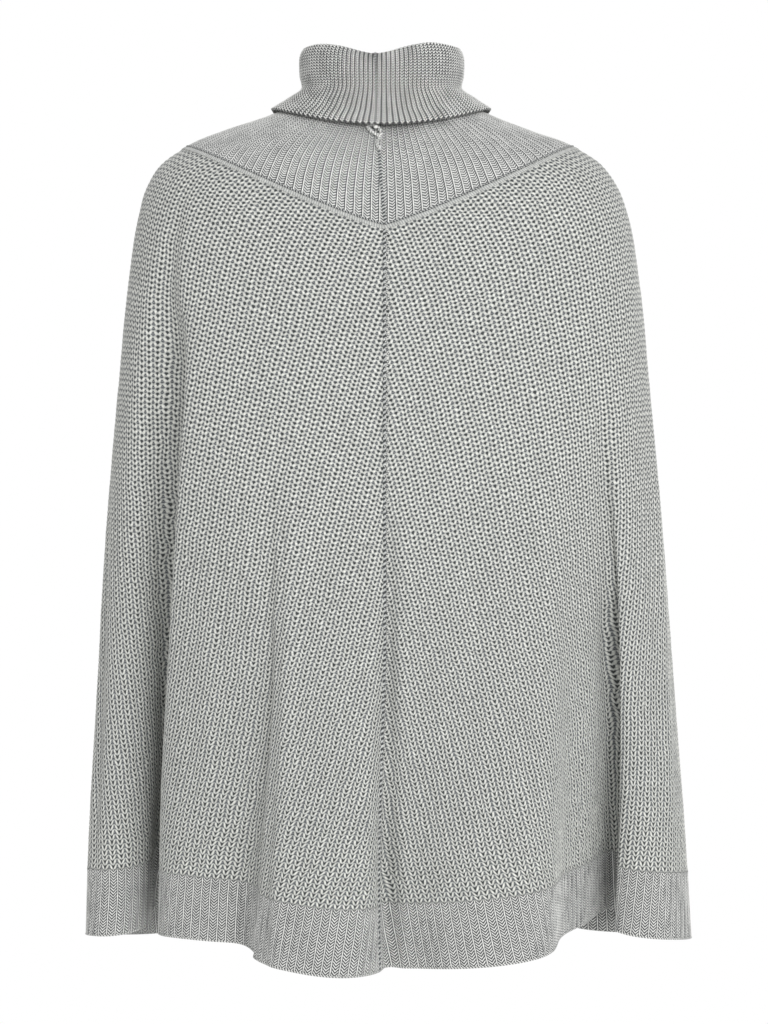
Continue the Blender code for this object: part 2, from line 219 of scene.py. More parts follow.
# the rib's colours by height, as the yarn's: painted shade in grooves and gaps, a painted highlight on tops
ribColours = dict(yarnColours, gap="#3C3E3F", paintedShade="#858787", strand="#BABBBA", paintedHighlight="#ECECE8")
ribStitches = dict(
    # column and line: heights across a rib, from the middle of one V column to the next. strand: from
    # where to where a V's strand falls to the height between two strands, in courses. tones: changes of
    # the rib's colours, its painted shade in grooves and gaps and its painted highlight on the tops.
    collar=dict(
        column=(
            *((0.0, 0.75), (0.15, 1.0), (0.34, 1.0), (0.43, 0.2), (0.5, 0.0)),
            *((0.57, 0.2), (0.66, 1.0), (0.85, 1.0), (1.0, 0.75)),
        ),
        line=((0.0, 0.0), (1.0, 0.0)),
        rise=0.9,
        strand=(0.12, 0.36),
        between=0.0,
        wander=dict(scale=60.0, across=0.06, along=0.25),
        # the collar's painted shade and painted highlight are drawn stronger, as its stitches are too fine
        # to show
        tones=dict(gap="#303233", paintedShade="#8C8E8E", strand="#DADBD8", paintedHighlight="#FFFFFC"),
    ),
    yoke=dict(
        column=(
            *((0.0, 0.82), (0.28, 0.82), (0.35, 0.15), (0.41, 0.05)),
            *((0.45, 0.5), (0.6, 0.4), (0.66, 0.82), (1.0, 0.82)),
        ),
        line=((0.0, 0.0), (0.42, 0.0), (0.46, 0.95), (0.56, 0.85), (0.6, 0.0), (1.0, 0.0)),
        rise=1.0,
        strand=(0.1, 0.4),
        between=0.1,
        wander=dict(scale=60.0, across=0.05, along=0.25),
        tones=dict(strand="#CACBC9", paintedHighlight="#F4F4F1"),
    ),
    hem=dict(
        column=((0.0, 0.85), (0.32, 0.85), (0.4, 0.25), (0.6, 0.25), (0.68, 0.85), (1.0, 0.85)),
        line=((0.0, 0.0), (0.42, 0.0), (0.46, 1.0), (0.5, 0.7), (0.54, 1.0), (0.58, 0.0), (1.0, 0.0)),
        rise=1.5,
        strand=(0.08, 0.4),
        between=0.05,
        wander=dict(scale=60.0, across=0.06, along=0.3),
        # the hem's painted shade and painted highlight are drawn stronger too
        tones=dict(gap="#2C2E2F", paintedShade="#7B7D7E", strand="#C7C8C6", paintedHighlight="#FCFCF8"),
    ),
)


def plainYarn(name, colours):
    # Plied yarn seen close: two plies wound round each other, a painted highlight on their tops and painted
    # shade where they meet.
    material, add = newMaterial(name)
    place = add("SeparateXYZ", add("UVMap", uv_map="knit"))
    line = add("Math", place.outputs["X"], colours["twist"], place.outputs["Y"], operation="MULTIPLY_ADD")
    wave = add("Math", line, 0.5, operation="PINGPONG")
    height = add("MapRange", wave, 0.05, 0.45, 1.0, 0.1, **softly)
    return knitFinish(material, add, height, colours, reliefDepth["yarn"])


bodyKnit = halfCardiganKnit("half_cardigan_wool_blend", halfCardigan)
ribKnits = {
    part: ribKnit(f"rib_wool_blend_{part}", stitch, {**ribColours, **stitch["tones"]})
    for part, stitch in ribStitches.items()
}
loopTones = dict(gap="#7C7E7D", paintedShade="#BCBDBB", strand="#DCDDDA", paintedHighlight="#F6F6F3")
yarnTones = dict(
    linked=dict(gap="#979998", paintedShade="#A8AAA8", strand="#B9BAB8", paintedHighlight="#C9CAC6"),
    # the whipped stitches are the same wool as the cloth, coloured dark as painted shade in and beside the
    # seams' grooves
    whippedPaintedShade=dict(gap="#303334", paintedShade="#4C4F50", strand="#868889", paintedHighlight="#C4C6C4"),
    plied=dict(),
    twisted=loopTones,
    # the knot's yarn has no twist and a turn far longer than the knot: near white all over, partly a painted
    # highlight
    knotted=dict(loopTones, twist=0.0),
)
yarns = {
    kind: plainYarn(f"{kind}_wool_blend", {**ribColours, "twist": 1.0, **tones})
    for kind, tones in yarnTones.items()
}
print("materials ready")


# The garment without its folds, a squarish oval at each level below the yoke seam, in mm.
sectionNames = ("down", "halfWidth", "depth", "forward", "sideways", "square", "zSide", "zMiddle")
sections = (
    (-123, 65, 57, 8, -2, 0.00, 2, 2),  # neck seam
    (-85, 97, 76, 6, -3, 0.00, -13, -37),
    (-40, 137, 97, 3, -6, 0.01, -28, -81),
    (0, 171, 112, 1, -3.5, 0.015, -42, -120),  # yoke seam, at the shoulder ends
    (20, 192, 117, 0, -2.5, 0.02, -56, -137),
    (44, 207, 120, 0, -1.5, 0.025, -77, -158),
    (71, 216, 122, 0, -0.5, 0.03, -105, -183),
    (121, 225, 124, 0, 0, 0.03, -160, -228),
    (204, 234, 126, 0, 0, 0.03, -250, -305),
    (329, 246, 128, 0, 0, 0.03, -380, -426),
    (459, 255, 131, 0, 1, 0.03, -515, -548),
    (588, 264, 134, 0, 2, 0.03, -648, -668),
    (670, 268, 136, 0, 3, 0.03, -733, -748),  # hem
)

# The crests and valleys of the folds, from centre back to the right and round. A line leaves the plain
# section at its girth, in percent, and reaches the hem at across and back, in mm, drop lower than the
# plain hem.
foldNames = ("girth", "across", "back", "drop", "start")
folds = (
    (0.7, 12, 102, 0, 400),  # furrow beside the centre seam
    (3.5, 42, 130, 0, 300),
    (6.8, 85, 144, -1, 200),  # right back panel
    (9.7, 122, 139, -3, 200),
    (11.9, 147, 118, -6, 200),  # its outer edge
    (12.8, 148, 72, -12, 200),
    (13.7, 167, 30, -16, 200),
    (14.6, 188, -8, -22, 200),
    (15.4, 207, -30, -26, 200),  # right valley
    (16.2, 207, 0, -10, 200),
    (17.0, 189, 27, -13, 200),  # folded edge of the right flap
    (18.6, 211, 51, -5, 200),
    (21.5, 250, 42, 0, 100),
    (25.2, 277, 2, 5, 0),  # right side, over the arm
    (27.5, 266, -46, 5, 0),
    (29.5, 236, -76, 8, 150),
    (32.3, 184, -54, 4, 250),  # right front valley
    (35.8, 150, -142, -3, 250),
    (38.5, 108, -154, 0, 250),
    (41.5, 84, -72, -14, 300),  # inner right front valley
    (45.3, 46, -158, 0, 300),
    (48.8, 2, -162, 2, 250),  # centre front crest
    (53.0, -40, -70, -14, 300),  # inner left front valley
    (57.0, -84, -165, 0, 300),
    (60.5, -132, -156, -3, 250),
    (64.5, -158, -44, -8, 250),  # left front valley
    (68.0, -202, -98, 12, 250),
    (71.5, -248, -72, 10, 150),
    (75.0, -269, -2, 0, 0),  # left side, over the arm
    (77.8, -254, 24, 0, 100),
    (80.3, -222, 20, -2, 180),
    (82.0, -202, -10, -10, 80),
    (83.2, -178, -38, -22, 10),  # left valley
    (84.2, -187, 2, -12, 10),
    (85.2, -203, 38, -8, 200),  # folded edge of the left back panel
    (86.8, -180, 62, -10, 200),
    (89.0, -146, 68, -9, 250),
    (91.2, -122, 60, -9, 300),  # step between the left panels
    (92.6, -114, 112, -3, 300),
    (94.5, -84, 140, 1, 300),
    (96.8, -50, 151, 4, 250),  # left centre panel
    (99.2, -17, 150, 3, 350),  # ridge beside the centre seam
)

# The collar from the neck seam up, over its fold and down outside: the middle of its wall, in mm.
collarNames = ("halfWidth", "depth", "forward", "sideways", "zSide", "zMiddle")
collarSections = (
    (65, 57, 8, -2, 2, 2),  # neck seam
    (63, 57, 10, -2, 22, 18),
    (63.5, 58, 10, -2, 38, 34),
    (67.5, 61.5, 10, -2, 45, 40),  # fold
    (71.5, 65, 10, -2, 38, 33),
    (71.5, 67, 10, -2, 23, 18),
    (70, 68, 9, -2, 10, 2),
    (82, 74, 7, -2, 1, -15),
    (96.5, 81, 6, -2.5, -8.5, -32),  # outer edge
)

# Soft creases of the cloth: each runs from one girth, in percent, and level to another. Its height is along
# the cloth's normal and its widths lie before and after its line, in mm. A height below 0 is a trough.
creases = (
    (84.75, 150, 84.65, 290, 22, 8, -16.0),  # left valley, deepest just behind the folded edge of the panel
    (84.65, 290, 84.5, 400, 20, 8, -21.0),
    (84.45, 400, 84.1, 510, 17, 8, -25.0),
    (84.0, 510, 82.8, 700, 15, 8, -32.0),
    (16.0, 230, 16.3, 410, 14, 6, -8.0),  # right valley, behind the folded edge of the flap
    (16.3, 400, 16.9, 545, 16, 6, -22.0),
    (16.9, 560, 17.1, 700, 12, 6, -24.0),
    (14.0, 440, 13.8, 700, 13, 13, 6.0),
    (92.1, 280, 92.3, 470, 16, 5, -6.0),  # step between the left panels
    (92.2, 430, 92.0, 700, 24, 7, -8.0),
    (93.4, 300, 94.0, 690, 6, 13, 4.0),
    (0.3, 270, 0.4, 440, 8, 8, -6.0),  # furrow beside the centre seam
    (0.2, 400, 0.6, 700, 10, 9, -9.0),
    (0.5, 540, 0.8, 700, 6, 5, -6.0),
    (99.2, 300, 99.0, 640, 9, 9, 2.0),
    (6.6, 240, 6.0, 470, 11, 16, -2.2),  # slack across the right panel
    (88.2, 350, 88.7, 600, 13, 9, 2.0),
    (92.9, 282, 92.9, 306, 4, 4, -1.8),  # pinch marks
    (12.0, 306, 11.6, 322, 4, 4, -1.5),
    (22.9, 240, 22.2, 560, 15, 11, 3.0),  # right side
    (26.6, 380, 27.1, 690, 9, 12, -5.0),
    (30.9, 190, 31.6, 430, 10, 14, -6.0),  # front, right to left
    (33.4, 330, 32.8, 700, 14, 10, -10.0),
    (37.3, 220, 37.0, 400, 8, 12, 3.0),
    (42.3, 300, 41.7, 700, 15, 11, -11.0),
    (46.4, 250, 46.9, 480, 8, 9, -4.0),
    (51.2, 340, 51.6, 620, 11, 8, 4.0),
    (54.6, 270, 53.3, 700, 11, 16, -10.0),
    (59.2, 230, 59.9, 410, 9, 7, -4.5),
    (64.9, 360, 64.3, 700, 10, 14, -9.0),
    (69.8, 200, 69.0, 460, 13, 9, -5.0),  # left side
    (76.4, 310, 77.2, 610, 10, 13, -4.0),
)

# Levels in mm down the cloth from the yoke seam, half the gap between two walls, and their thickness.
levels = dict(neck=-123.0, yoke=0.0, hemTop=614.0, hem=670.0, seamGap=0.15, wall=2.8)
foldGrowth = 1.4  # power by which a fold grows from its start to the hem
seamCurve = 1.2  # power by which a level falls from the sides to the middle
yokeRoundWay = 970.0  # mm round the cloth at the yoke seam
roundWayGain = 1.18  # and by how many mm it grows with each mm down


def smoothStep(value, low, high):
    # 0 below low and 1 above high, with a soft rise between: t^2 (3 - 2t)
    t = np.clip((value - low) / (high - low), 0.0, 1.0)
    return t**2 * (3.0 - 2.0 * t)


def offWhole(value):
    # distance to the nearest whole number
    return np.abs(value - np.round(value))


def column(table, names, name):
    # one column of a table, as numbers
    return np.array([row[names.index(name)] for row in table], float)


def throughPoints(at, places, values):
    # cubic Hermite curve through the values, its slopes the mean slopes of their neighbours
    slopes = np.gradient(values, places)
    right = np.clip(np.searchsorted(places, at), 1, len(places) - 1)
    left = right - 1
    span = places[right] - places[left]
    t = np.clip((at - places[left]) / span, 0.0, 1.0)
    rise = values[left] * (1 - t) ** 2 * (1 + 2 * t) + values[right] * t**2 * (3 - 2 * t)
    return rise + span * t * (1 - t) * (slopes[left] * (1 - t) - slopes[right] * t)


def section(name, down):
    # one measure of the plain section at a level
    return throughPoints(down, column(sections, sectionNames, "down"), column(sections, sectionNames, name))


def oval(girth, halfWidth, depth, square):
    # x = a(sin t + s sin 3t)/(1 - s), y = b(cos t - s cos 3t)/(1 - s), t eased so that steps round are even
    flatness = (halfWidth - depth) / (halfWidth + depth)
    angle = 2 * math.pi * girth - flatness / 2 * np.sin(4 * math.pi * girth)
    across = (np.sin(angle) + square * np.sin(3 * angle)) / (1 - square)
    back = (np.cos(angle) - square * np.cos(3 * angle)) / (1 - square)
    return halfWidth * across, depth * back, np.abs(across)


def plainCloth(girth, down):
    # each level's oval, its height falling from the sides to the middle as the seam's V does
    across, back, share = oval(girth, *(section(name, down) for name in ("halfWidth", "depth", "square")))
    zMiddle = section("zMiddle", down)
    z = zMiddle + (section("zSide", down) - zMiddle) * share**seamCurve
    return across + section("sideways", down) * share**2, section("forward", down) - back, z


def foldCurves(samples=16):
    # closed cubic B-splines through the fold table's columns
    t = np.arange(samples) / samples
    weights = np.array([(1 - t) ** 3, 3 * t**3 - 6 * t**2 + 4, -3 * t**3 + 3 * t**2 + 3 * t + 1, t**3]) / 6
    curves = {}
    for name in foldNames:
        values = column(folds, foldNames, name)
        turn = 100.0 if name == "girth" else 0.0
        around = np.concatenate([values[-2:] - turn, values, values[:3] + turn])
        spans = np.stack([around[k : len(around) - 3 + k] for k in range(4)])
        curves[name] = np.einsum("ks,kn->ns", weights, spans).ravel()
    return curves


foldCurve = foldCurves()


def foldLine(name, girth):
    # one measure of the folds at a girth
    return np.interp(100.0 * (girth % 1.0), foldCurve["girth"], foldCurve[name])


def foldedCloth(girth, down):
    # the plain cloth moved towards the folded hem, by the share of its fold's length to the power
    # foldGrowth
    girth, down = np.broadcast_arrays(np.asarray(girth, float), np.asarray(down, float))
    x, y, z = plainCloth(girth, down)
    hemX, hemY, _ = plainCloth(girth, np.full_like(down, levels["hem"]))
    start = foldLine("start", girth)
    grown = np.clip((down - start) / (levels["hem"] - start), 0.0, 1.0) ** foldGrowth
    x = x + grown * (foldLine("across", girth) - hemX)
    y = y + grown * (-foldLine("back", girth) - hemY)
    return np.stack([x, y, z - grown * foldLine("drop", girth)], axis=-1) * mm


def clothNormal(girth, down, step=0.0006):
    # cross product of the differences down and round the cloth, pointing out
    roundWay = foldedCloth(girth + step, down) - foldedCloth(girth - step, down)
    downWay = foldedCloth(girth, down + 1.0) - foldedCloth(girth, down - 1.0)
    normal = np.cross(downWay, roundWay)
    return normal / np.linalg.norm(normal, axis=-1, keepdims=True)


def roundWayAt(down):
    # mm round the cloth at a level
    return yokeRoundWay + roundWayGain * np.clip(down, levels["yoke"], levels["hem"])


def creaseHeight(girth, down):
    # each crease is a bell across its line, wider on one side than on the other and faded at both its ends
    total = np.zeros(np.broadcast(girth, down).shape)
    for start, top, end, bottom, before, after, height in creases:
        along = (down - top) / (bottom - top)
        turn = girth - (start + (end - start) * np.clip(along, 0, 1)) / 100.0
        away = (turn - np.round(turn)) * roundWayAt(down)
        fade = smoothStep(np.minimum(along, 1.0 - along), -0.3, 0.3)
        total = total + height * np.exp(-((away / np.where(away < 0, before, after)) ** 2)) * fade
    return total


def cloth(girth, down, depth=0.0, creased=1.0):
    # a point of the cloth, depth in mm under its outer face, its creases at full height or a share of it
    girth, down = np.broadcast_arrays(np.asarray(girth, float), np.asarray(down, float))
    offset = (creased * creaseHeight(girth, down) - depth) * mm
    return foldedCloth(girth, down) + offset[..., None] * clothNormal(girth, down)


def girthTable(first, last, rows=90, columns=700, points=1200, creased=0.8, averaged=80):
    # The girth at even shares of the way round a stretch, by its length along the cloth, for even levels
    # from the yoke seam to the hem. Creases count in part, as stitches stretch over them, and the lengths
    # are averaged with those of the rows above and below, so that wales hang straight. Row r's shares are
    # moved to 2r..2r + 1, so that one interpolation serves all rows.
    downs = np.linspace(levels["yoke"], levels["hem"], rows)
    fine = np.linspace(first, last, points)
    steps = np.linalg.norm(np.diff(cloth(fine[None, :], downs[:, None], 0.0, creased), axis=1), axis=2)
    for _ in range(averaged):
        steps[1:-1] = (steps[:-2] + 2 * steps[1:-1] + steps[2:]) / 4
    along = np.concatenate([np.zeros((rows, 1)), np.cumsum(steps, axis=1)], axis=1)
    along /= along[:, -1:]
    row = 2.0 * np.arange(rows)[:, None]
    share = np.linspace(0.0, 1.0, columns)[None, :]
    return np.interp(row + share, (row + along).ravel(), np.broadcast_to(fine, along.shape).ravel())


def girthAt(table, shares, downs):
    # bilinear reading of the table
    row = (downs - levels["yoke"]) / (levels["hem"] - levels["yoke"]) * (table.shape[0] - 1)
    place = shares * (table.shape[1] - 1)
    top = np.clip(row.astype(int), 0, table.shape[0] - 2)
    left = np.clip(place.astype(int), 0, table.shape[1] - 2)
    low, right = row - top, place - left
    upper = table[top, left] * (1 - right) + table[top, left + 1] * right
    lower = table[top + 1, left] * (1 - right) + table[top + 1, left + 1] * right
    return upper * (1 - low) + lower * low


girthTables = dict(right=girthTable(0.0, 0.5), left=girthTable(0.5, 1.0))
print("cloth measured")


def gridIndex(rows, columns, closed=False):
    # vertex numbers of a grid; a closed one ends each row on its first vertex again
    index = np.arange(rows * columns).reshape(rows, columns)
    return np.concatenate([index, index[:, :1]], axis=1) if closed else index


def gridCorners(index, turned=False):
    # two triangles for each cell, as places in the grid, split along the cell's other diagonal where it is
    # turned. Cells that are drawn together to a line are left out.
    place = np.arange(index.size).reshape(index.shape)
    cell = (place[:-1, :-1], place[:-1, 1:], place[1:, 1:], place[1:, :-1])
    a, b, c, d = (np.where(turned, cell[(k + 1) % 4], cell[k]) for k in range(4))
    corners = np.concatenate([np.stack(three, axis=-1).reshape(-1, 3) for three in ([a, b, c], [a, c, d])])
    corner = index.ravel()[corners]
    whole = (corner[:, 0] != corner[:, 1]) & (corner[:, 1] != corner[:, 2]) & (corner[:, 2] != corner[:, 0])
    return corners[whole]


def joinEdges(one, onePlace, other, otherPlace):
    # triangles between two edges: each step of the first meets the nearest corner of the second, and each
    # step of the second the corner of the first from which on it is passed
    match = np.searchsorted((otherPlace[1:] + otherPlace[:-1]) / 2, onePlace)
    match[0], match[-1] = 0, len(other) - 1
    passed = np.searchsorted(match, np.arange(1, len(other)))
    toOther = np.stack([one[:-1], one[1:], other[match[:-1]]], axis=1)
    toOne = np.stack([one[passed], other[1:], other[:-1]], axis=1)
    return np.concatenate([toOther, toOne])


bakePlaces = dict(  # where a wall's faces and the strips along its edges lie on the second map
    sides=(0.01, 0.99),
    outer=(0.99, 0.36),
    inner=(0.34, 0.1),
    strip=0.01,
    step=0.02,
    width=0.014,
)


def wallPiece(name, outer, inner, material, turned, joined=()):
    # Outer and inner are (points, index grid, knit map grid). Both, and a strip along each open edge,
    # make a closed wall. On the second map the outer face lies over the inner one, and the strips lie
    # below. The strip of a joined edge (0 top, 1 bottom) is shaded flat, so that the cloth on both sides
    # of the join reads as one.
    points = np.concatenate([outer[0].reshape(-1, 3), inner[0].reshape(-1, 3)])
    second = inner[1] + outer[0].size // 3
    faces = ((outer[1], outer[2], bakePlaces["outer"]), (second, inner[2], bakePlaces["inner"]))
    index, knitMap, bakeMap, corners, smooth = [], [], [], [], []
    count = 0
    for grid, knit, heights in faces:
        rows, columns = grid.shape
        across, down = np.meshgrid(np.linspace(*bakePlaces["sides"], columns), np.linspace(*heights, rows))
        corners.append(count + gridCorners(grid, turned if count == 0 else False))
        smooth.append(np.ones(len(corners[-1]), bool))
        index.append(grid.ravel())
        knitMap.append(knit.reshape(-1, 2))
        bakeMap.append(np.stack([across, down], axis=-1).reshape(-1, 2))
        count += grid.size
    closed = outer[1][0, 0] == outer[1][0, -1]
    for number, cut in enumerate((np.s_[0], np.s_[-1], np.s_[:, 0], np.s_[:, -1])[: 2 if closed else 4]):
        edges = []
        for side, (grid, knit, _) in enumerate(faces):
            line = grid[cut]
            kept = np.append(True, np.diff(line) != 0)
            across = np.linspace(*bakePlaces["sides"], len(line))[kept]
            height = bakePlaces["strip"] + bakePlaces["step"] * number + bakePlaces["width"] * side
            place = knit[cut][kept]
            index.append(line[kept])
            knitMap.append(place)
            bakeMap.append(np.stack([across, np.full(len(across), height)], axis=-1))
            edges += [count + np.arange(len(across)), place[:, number // 2]]  # met by wale, or by course
            count += len(across)
        corners.append(joinEdges(*edges))
        smooth.append(np.full(len(corners[-1]), number not in joined))
    corners = np.concatenate(corners)
    maps = dict(knit=np.concatenate(knitMap)[corners], OFBake=np.concatenate(bakeMap)[corners])
    piece = addPiece(name, points, np.concatenate(index)[corners], maps, material)
    piece.data.polygons.foreach_set("use_smooth", np.concatenate(smooth))
    return piece


def addPiece(name, points, triangles, maps, material):
    # a mesh of triangles over numbered points, each map giving a place for each corner of each triangle
    used, triangles = np.unique(triangles, return_inverse=True)
    triangles = triangles.reshape(-1, 3)
    mesh = bpy.data.meshes.new(name)
    mesh.vertices.add(len(used))
    mesh.vertices.foreach_set("co", points[used].astype(np.float32).ravel())
    mesh.loops.add(triangles.size)
    mesh.loops.foreach_set("vertex_index", triangles.astype(np.int32).ravel())
    mesh.polygons.add(len(triangles))
    mesh.polygons.foreach_set("loop_start", np.arange(0, triangles.size, 3, dtype=np.int32))
    mesh.update(calc_edges=True)
    for mapName, places in maps.items():
        mesh.uv_layers.new(name=mapName).data.foreach_set("uv", places.astype(np.float32).ravel())
    outwards(mesh)
    mesh.shade_smooth()
    mesh.materials.append(material)
    piece = addObject(name, mesh)
    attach(piece, "root")
    return piece


def outwards(mesh):
    # turns the faces of a closed mesh outwards
    work = bmesh.new()
    work.from_mesh(mesh)
    bmesh.ops.recalc_face_normals(work, faces=work.faces)
    work.to_mesh(mesh)
    work.free()


def halfWave(turns):
    # 0 at each whole turn and 1 half way to the next
    return 0.5 - 0.5 * np.cos(2 * math.pi * turns)


def uneven(shape, seed):
    # seeded noise: fine and slow unevenness together, each averaged with its neighbours again and again
    total = np.zeros(shape)
    for times, weight in body["unevenness"]:
        values = np.random.default_rng(seed + times).normal(size=shape)
        for _ in range(times):
            values = (np.roll(values, 1, axis=0) + 2 * values + np.roll(values, -1, axis=0)) / 4
            values = (np.roll(values, 1, axis=1) + 2 * values + np.roll(values, -1, axis=1)) / 4
        total += weight * values / values.std()
    return total


body = dict(
    topWales=66.0,  # wales round one half at the yoke seam
    waleGain=54.6,  # wales that start at the mitred seams on the way down to the hem
    columnsPerWale=4,
    frontColumnsPerWale=2,
    frontStart=21,  # the wale in front of the side where the coarser columns start
    courses=143,
    rowsPerCourse=2,
    innerColumns=200,
    innerRows=18,
    gutter=0.3,  # mm from a wale's middle down to its gutter
    relief=1.1,  # mm from the top of a strand down to the bottom of a hole
    swell=0.25,  # share by which the relief changes from stitch to stitch
    wander=0.4,  # mm by which stitches lie off their places
    unevenness=((2, 0.6), (14, 0.8)),  # how often fine and slow noise are averaged, and their weights
    seeds=dict(right=11, left=23),
    roundWay=1400.0,  # mm round the cloth half way down, to turn the wander into girth
    courseShrink=0.763,  # height of the last course, where the first is 1
    courseLift=24.0,  # mm by which a course is higher towards the side than the level it meets at the middle
    liftHump=0.16,  # square of the place at which it is highest
    liftLevels=(0, 100, 250, 400, 500, 614),
    liftShares=(0.0, 0.65, 1.0, 0.8, 0.5, 0.0),
)


def waleCount(down):
    # wales round one half, growing evenly on the way down
    return body["topWales"] + body["waleGain"] * down / levels["hem"]


def courseLift(share, down):
    # how much higher than at the middle a course runs: a share for the level times a hump towards the side,
    # 1 - ((t^2 - h)/(1 - h))^2, t being 1 at the middles and 0 at the side
    raised = throughPoints(down, np.array(body["liftLevels"], float), np.array(body["liftShares"], float))
    hump = ((1.0 - 2.0 * share) ** 2 - body["liftHump"]) / (1.0 - body["liftHump"])
    return body["courseLift"] * raised * (1.0 - hump**2)


def courseAt(share, down):
    # courses from the yoke seam, each a fixed part lower than the one before
    shrink = body["courseShrink"]
    level = np.clip(down + courseLift(share, down), levels["yoke"], levels["hemTop"]) / levels["hemTop"]
    return body["courses"] * np.log(1.0 - level * (1.0 - shrink)) / math.log(shrink)


def downAt(wale, course, rounds=24):
    # the level at which a wale crosses a course: courseAt turned round, by moving half way to it each time
    shrink = body["courseShrink"]
    level = levels["hemTop"] * (1.0 - shrink ** (course / body["courses"])) / (1.0 - shrink)
    wale, level = np.broadcast_arrays(wale, level)
    down = level
    for _ in range(rounds):
        share = np.clip(wale / waleCount(down) + 0.5, 0.0, 1.0)
        down = 0.5 * down + 0.5 * (level - courseLift(share, down))
        down = np.clip(down, levels["yoke"], levels["hemTop"])
    return down


def stitchHeight(u, v):
    # Height of the half-cardigan's strands, from 0 in a hole to 1: a round section about a line that
    # climbs from the middle of the wale to the gutter, wider and higher at its belly, less the slit above
    # each V's point. The tuck strand lies half a course off in the gutter.
    stitch = halfCardigan
    stages = [*stitch["change"], *stitch["nearHem"]]
    changing = (stitch[key] for key in ("rise", "belly", "gutterEnd", "slit"))
    rise, bellyWidth, gutterEnd, slit = (np.interp(v, stages, [*key[:2], *key[1:]]) for key in changing)
    side = offWhole(u)
    climb = 2.0 * rise * side
    belly = 1.0 - smoothStep(np.abs(side - stitch["bellyAt"]), *stitch["bellyFall"])
    width = stitch["strandWidth"] + bellyWidth * belly
    curve = np.sqrt(np.clip(1.0 - (offWhole(v + climb) / width) ** 2, 0.0, 1.0))
    end = stitch["middleEnd"] + 2.0 * side * (gutterEnd - stitch["middleEnd"])
    slit = slit * (1.0 - smoothStep(side, *stitch["slitAcross"]))
    slit = slit * (1.0 - smoothStep(offWhole(v + 0.5), *stitch["slitAlong"]))
    tuck = stitch["tuckHeight"] * (1.0 - smoothStep(offWhole(v + climb + 0.5), 0.0, stitch["tuckWidth"]))
    strand = curve * (end + (1.0 - end) * belly) * (1.0 - slit)
    return np.maximum(strand, tuck * smoothStep(side, *stitch["gutterFrom"]))


def turnedCells(places):
    # cells on the right half of each wale or rib are split the other way, so that V stitches are even
    return (places[1:] + places[:-1]) / 2 % 1.0 < 0.5


def gatheredIndex(places, half):
    # vertex numbers of a grid whose columns, beyond half a row's width either way, are drawn together there
    first, last = np.searchsorted(places, -half, "right") - 1, np.searchsorted(places, half)
    return np.arange(len(half))[:, None] * len(places) + np.clip(np.arange(len(places)), first, last)


def innerHalf(side, piece, top, bottom):
    # the inner face of a half: the shares and levels of an even grid, its points and their numbers
    rows, columns = piece["innerRows"], piece["innerColumns"]
    downs = np.linspace(top, bottom, rows)[:, None]
    shares, downs = np.broadcast_arrays(np.linspace(0, 1, columns)[None, :], downs)
    points = cloth(girthAt(girthTables[side], shares, downs), downs, levels["wall"])
    return shares, downs, points, gridIndex(rows, columns)


def bodyHalf(side):
    # The outer grid's columns lie on wales and its rows on courses and half way between. A row reaches
    # only as far as its own wales do: further columns are drawn together at the seam, so wales start
    # there one by one.
    rowCount = body["courses"] * body["rowsPerCourse"] + 1
    course = np.linspace(0, body["courses"], rowCount)[:, None]
    half = waleCount(downAt(-2.0 * body["topWales"], course)) / 2  # a wale so far out runs along the seam
    reach = math.ceil(half.max())
    back = np.arange(-reach, body["frontStart"], 1.0 / body["columnsPerWale"])
    front = np.arange(body["frontStart"], reach + 0.1, 1.0 / body["frontColumnsPerWale"])
    places = np.concatenate([back, front])
    if side == "left":  # its wales run from the front to the back
        places = -places[::-1]
    wale = np.clip(places, -half, half)
    downs = downAt(wale, course)
    shares = np.clip(wale / waleCount(downs) + 0.5, 0.0, 1.0)
    off = smoothStep(np.minimum(np.minimum(course, body["courses"] - course), half - np.abs(wale)), 0.0, 2.0)
    across, along, swell = (uneven(wale.shape, body["seeds"][side] + 100 * k) for k in range(3))
    girths = girthAt(girthTables[side], shares, downs) + off * across * body["wander"] / body["roundWay"]
    top, bottom = levels["yoke"] + levels["seamGap"], levels["hemTop"] - levels["seamGap"]
    moved = np.clip(downs + off * along * body["wander"], top, bottom)
    edge = smoothStep(np.minimum(course, body["courses"] - course), 0.0, 1.0)
    relief = body["relief"] * (1.0 + body["swell"] * np.clip(swell, -2.0, 2.0))
    relief = relief * (1.0 - stitchHeight(wale, course))
    outerPoints = cloth(girths, moved, (relief + body["gutter"] * halfWave(wale)) * edge)
    outerIndex = gatheredIndex(places, half)
    outerMap = np.stack(np.broadcast_arrays(wale, course), axis=-1)
    shares, downs, innerPoints, innerIndex = innerHalf(side, body, top, bottom)
    innerMap = np.stack([(shares - 0.5) * waleCount(downs), courseAt(shares, downs)], axis=-1)
    outer, inner = (outerPoints, outerIndex, outerMap), (innerPoints, innerIndex, innerMap)
    return wallPiece(f"body_{side}_knit", outer, inner, bodyKnit, turnedCells(places), joined=(1,))


bodies = {side: bodyHalf(side) for side in ("right", "left")}
for side, piece in bodies.items():
    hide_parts(f"body_{side}")
print("body halves ready")


def ribHeight(knit, stitch):
    # height of the rib's V columns and of the smooth line beside them, as in the rib's material
    u, v = knit[..., 0], knit[..., 1]
    arm = offWhole(v + 2.0 * stitch["rise"] * offWhole(u))
    strand = 1.0 - (1.0 - stitch["between"]) * smoothStep(arm, *stitch["strand"])
    profiles = [np.interp(u % 1.0, *np.array(stitch[part]).T) for part in ("column", "line")]
    return np.maximum(profiles[0] * strand, profiles[1])


hem = dict(
    ribs=116,
    ribGain=2.6,  # ribs that start at the mitred seams on the way down
    columnsPerRib=8,
    courses=22,
    innerColumns=200,
    innerRows=5,
    relief=0.9,  # mm
)


def ribCount(downs):
    # ribs round one half, growing evenly from the band's top to its edge
    return hem["ribs"] + hem["ribGain"] * (downs - levels["hemTop"]) / (levels["hem"] - levels["hemTop"])


